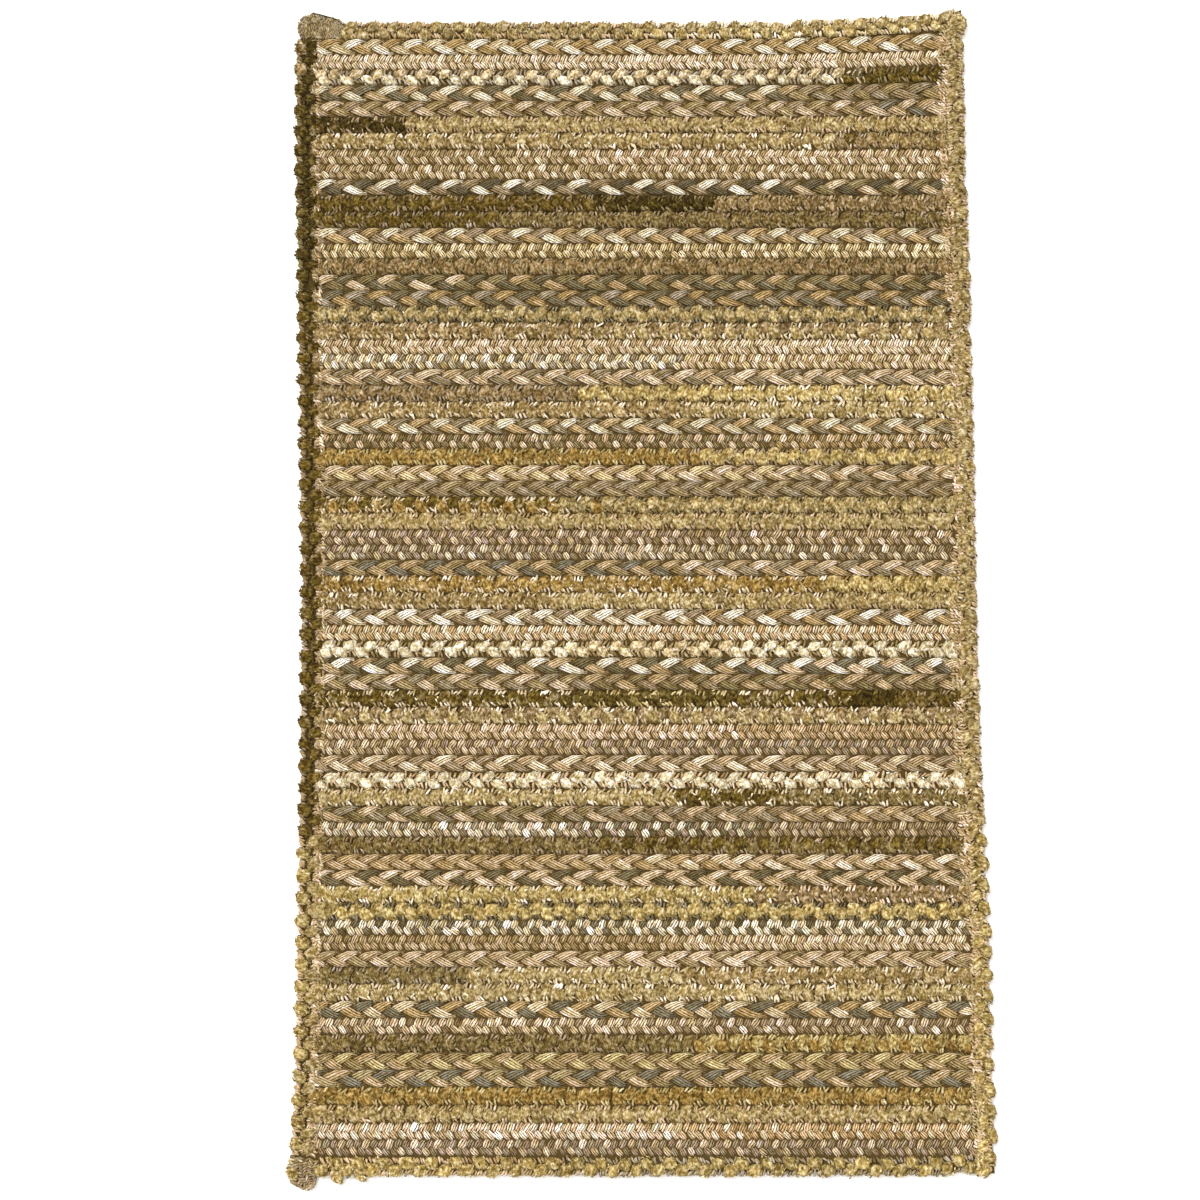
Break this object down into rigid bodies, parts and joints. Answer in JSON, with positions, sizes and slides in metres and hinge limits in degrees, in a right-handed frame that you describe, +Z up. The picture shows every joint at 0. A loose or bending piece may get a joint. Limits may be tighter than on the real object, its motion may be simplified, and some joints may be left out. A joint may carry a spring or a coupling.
{
  "type": "braided rug",
  "caption": "Flat oblong rug of straight plaited, fine and chenille yarn braids, sewn side by side inside a lumpy chenille border braid.",
  "frame": {"origin": "middle of the rug's footprint, on the floor", "axes": "+Y along the rug's long side, towards its top edge; +X across it, to the right as seen from above; +Z up"},
  "size_m": [0.9314, 1.568, 0.011],
  "materials": {
    "cream_tan": "cream and tan cotton-look yarn, matt",
    "cream": "cream chenille and yarn, matt",
    "grey_tan": "grey, white and tan yarn mix, matt",
    "khaki": "khaki chenille and yarn, matt and fuzzy",
    "mustard_olive": "mustard-olive chenille, matt and fuzzy",
    "dark_olive": "dark olive-brown chenille, matt and fuzzy",
    "taupe": "taupe-brown chenille and fine yarn, matt",
    "pink_tan": "pink-beige and tan yarn, matt"
  },
  "bodies": {
    "root": {"border_bottom": "khaki", "border_left": "khaki", "border_right": "khaki", "border_top": "khaki", "corner_end_bottom_left": "taupe", "corner_end_top_left": "taupe", "row_01_plait": "cream_tan", "row_02_fine": "cream_tan", "row_03_chenille": "cream", "row_10_plait": "grey_tan", "row_13_plait": "cream_tan", "row_14_fine": "cream_tan", "row_15_chenille": "taupe", "row_22_plait": "pink_tan", "row_25_plait": "cream_tan", "row_26_fine": "pink_tan", "row_27_chenille": "mustard_olive", "row_34_plait": "grey_tan", "row_37_plait": "cream_tan", "row_38_fine": "cream_tan", "row_39_chenille": "cream", "row_46_plait": "pink_tan", "row_49_plait": "taupe", "row_50_fine": "pink_tan", "row_51_chenille": "dark_olive", "row_58_plait": "pink_tan", "row_61_plait": "grey_tan", "row_62_fine": "cream_tan", "row_63_chenille": "mustard_olive", "rows_04_05_plait": "grey_tan", "rows_06_07_chenille": "khaki", "rows_08_09_fine": "cream_tan", "rows_11_12_chenille": "dark_olive", "rows_16_17_plait": "grey_tan", "rows_18_19_chenille": "khaki", "rows_20_21_fine": "cream_tan", "rows_23_24_chenille": "khaki", "rows_28_29_plait": "pink_tan", "rows_30_31_chenille": "khaki", "rows_32_33_fine": "pink_tan", "rows_35_36_chenille": "mustard_olive", "rows_40_41_plait": "grey_tan", "rows_42_43_chenille": "taupe", "rows_44_45_fine": "pink_tan", "rows_47_48_chenille": "khaki", "rows_52_53_plait": "grey_tan", "rows_54_55_chenille": "khaki", "rows_56_57_fine": "cream_tan", "rows_59_60_chenille": "taupe", "rows_64_65_plait": "grey_tan", "rows_66_67_chenille": "mustard_olive", "rows_68_69_fine": "pink_tan"}
  },
  "joints": []
}
